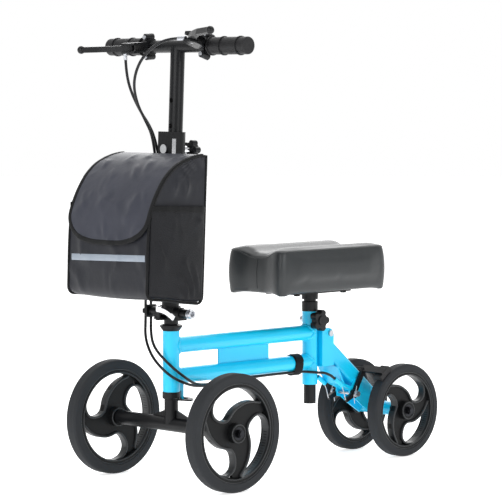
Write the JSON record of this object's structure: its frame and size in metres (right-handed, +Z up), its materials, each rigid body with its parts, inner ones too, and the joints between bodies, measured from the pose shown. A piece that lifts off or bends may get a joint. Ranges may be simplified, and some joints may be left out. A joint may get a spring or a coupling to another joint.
{
  "type": "knee scooter",
  "caption": "Folding four-wheeled knee scooter with a padded kneeling block, a steering column with handlebar and brake levers, a front bag and rear tyre brakes.",
  "frame": {"origin": "on the ground plane, under the middle of the bounding box", "axes": "+Z up, the rider faces -Y, +X is the rider's left"},
  "size_m": [0.352, 0.7578, 0.7879],
  "materials": {
    "blue_paint": "glossy sky-blue powder coat",
    "black_paint": "satin black powder coat",
    "black_plastic": "moulded black plastic",
    "rim_plastic": "moulded black nylon",
    "tyre": "solid charcoal polyurethane tyre",
    "grip_rubber": "soft black rubber",
    "bag_fabric": "woven nylon, dark blue-grey",
    "webbing": "woven black strap",
    "pad_vinyl": "grained black vinyl",
    "cable_sheath": "black cable sheath",
    "bright_steel": "zinc-plated steel",
    "chrome": "polished chrome"
  },
  "bodies": {
    "frame": {"head_tube": "blue_paint", "top_tube": "blue_paint", "lower_tube": "blue_paint", "seat_tube": "blue_paint", "seat_collar": "black_paint", "name_plate": "blue_paint", "rear_bracket": "blue_paint", "rear_leg": "blue_paint", "rear_axle_tube": "blue_paint", "brake_mount": "blue_paint", "cable_strap": "webbing", "headset_cups": "black_paint", "rear_axle": "bright_steel", "frame_bolts": "bright_steel", "brake_springs": "bright_steel", "rear_wheel_bearings": "bright_steel", "left_cable_rear": "cable_sheath", "right_cable_rear": "cable_sheath"},
    "fork": {"fork_steerer": "black_paint", "front_beam": "black_paint", "fold_yoke": "black_paint", "fold_skewer": "bright_steel", "cable_guide": "black_paint", "front_axle": "bright_steel", "front_wheel_bearings": "bright_steel", "left_cable_lower": "cable_sheath", "right_cable_lower": "cable_sheath"},
    "fold_lever": {"fold_lever": "chrome"},
    "column": {"column_tube": "black_paint", "column_clamp": "black_paint", "clamp_bolt": "chrome", "bag_body": "bag_fabric", "bag_straps": "webbing"},
    "bag_flap": {"bag_flap": "bag_fabric"},
    "column_knob": {"column_knob": "black_plastic"},
    "handlebar": {"handlebar_stem": "black_paint", "handlebar": "black_paint", "hand_grips": "grip_rubber", "lever_perches": "black_plastic", "perch_hardware": "bright_steel", "left_cable_upper": "cable_sheath", "right_cable_upper": "cable_sheath"},
    "left_lever": {"left_brake_lever": "black_plastic"},
    "right_lever": {"right_brake_lever": "black_plastic"},
    "left_brake": {"left_brake_arm": "black_paint", "left_brake_shoe": "grip_rubber"},
    "right_brake": {"right_brake_arm": "black_paint", "right_brake_shoe": "grip_rubber"},
    "seat": {"seat_post": "black_paint", "pad_plate": "black_paint", "knee_pad": "pad_vinyl"},
    "seat_knob": {"seat_knob": "black_plastic"},
    "front_left_wheel": {"front_left_tyre": "tyre", "front_left_rim": "rim_plastic"},
    "front_right_wheel": {"front_right_tyre": "tyre", "front_right_rim": "rim_plastic"},
    "rear_left_wheel": {"rear_left_tyre": "tyre", "rear_left_rim": "rim_plastic"},
    "rear_right_wheel": {"rear_right_tyre": "tyre", "rear_right_rim": "rim_plastic"}
  },
  "joints": [
    {"name": "steering", "type": "hinge", "parent": "frame", "child": "fork", "pos_m": [0, -0.228, 0.212], "axis": [0, 0, 1], "range_deg": [-45, 45], "deforming": ["left_cable_lower", "right_cable_lower"]},
    {"name": "column_fold", "type": "hinge", "parent": "fork", "child": "column", "pos_m": [0, -0.23, 0.297], "axis": [-1, 0, 0], "range_deg": [0, 50]},
    {"name": "fold_lever_swing", "type": "hinge", "parent": "fork", "child": "fold_lever", "pos_m": [-0.006, -0.25, 0.303], "axis": [0, 0, -1], "range_deg": [0, 95]},
    {"name": "bag_flap_lift", "type": "hinge", "parent": "column", "child": "bag_flap", "pos_m": [0, -0.24842, 0.57391], "axis": [-1, 0, 0], "range_deg": [0, 55]},
    {"name": "column_knob_turn", "type": "hinge", "parent": "column", "child": "column_knob", "pos_m": [0, -0.18422, 0.57733], "axis": [0, 0.9991, -0.0419], "continuous": true},
    {"name": "bar_height", "type": "slide", "parent": "column", "child": "handlebar", "axis": [0, 0.0419, 0.9991], "range_m": [-0.088, 0.088], "deforming": ["left_cable_upper", "right_cable_upper"]},
    {"name": "left_lever_squeeze", "type": "hinge", "parent": "handlebar", "child": "left_lever", "pos_m": [0.08, -0.24976, 0.76867], "axis": [0, 0.309, 0.9511], "range_deg": [0, 20], "stiffness_Nm_per_rad": 0.6},
    {"name": "right_lever_squeeze", "type": "hinge", "parent": "handlebar", "child": "right_lever", "pos_m": [-0.08, -0.25166, 0.75314], "axis": [0, 0.0698, -0.9976], "range_deg": [0, 20], "stiffness_Nm_per_rad": 0.6},
    {"name": "left_brake_swing", "type": "hinge", "parent": "frame", "child": "left_brake", "pos_m": [0, 0.2095, 0.12], "axis": [-1, 0, 0], "range_deg": [0, 2.5], "stiffness_Nm_per_rad": 2},
    {"name": "right_brake_swing", "type": "hinge", "parent": "frame", "child": "right_brake", "pos_m": [0, 0.2095, 0.12], "axis": [-1, 0, 0], "range_deg": [0, 2.5], "stiffness_Nm_per_rad": 2},
    {"name": "seat_height", "type": "slide", "parent": "frame", "child": "seat", "axis": [0, 0, -1], "range_m": [-0.1, 0]},
    {"name": "seat_knob_turn", "type": "hinge", "parent": "frame", "child": "seat_knob", "pos_m": [0.026, 0.115, 0.262], "axis": [1, 0, 0], "continuous": true},
    {"name": "front_left_roll", "type": "hinge", "parent": "fork", "child": "front_left_wheel", "pos_m": [0.153, -0.2267, 0.1016], "axis": [1, 0, 0], "continuous": true},
    {"name": "front_right_roll", "type": "hinge", "parent": "fork", "child": "front_right_wheel", "pos_m": [-0.153, -0.2267, 0.1016], "axis": [1, 0, 0], "continuous": true},
    {"name": "rear_left_roll", "type": "hinge", "parent": "frame", "child": "rear_left_wheel", "pos_m": [0.064, 0.2967, 0.086], "axis": [1, 0, 0], "continuous": true},
    {"name": "rear_right_roll", "type": "hinge", "parent": "frame", "child": "rear_right_wheel", "pos_m": [-0.064, 0.2967, 0.086], "axis": [1, 0, 0], "continuous": true}
  ],
  "couplings": [
    {"joint": "left_brake_swing", "follows": "left_lever_squeeze", "ratio": 0.125},
    {"joint": "right_brake_swing", "follows": "right_lever_squeeze", "ratio": 0.125}
  ]
}
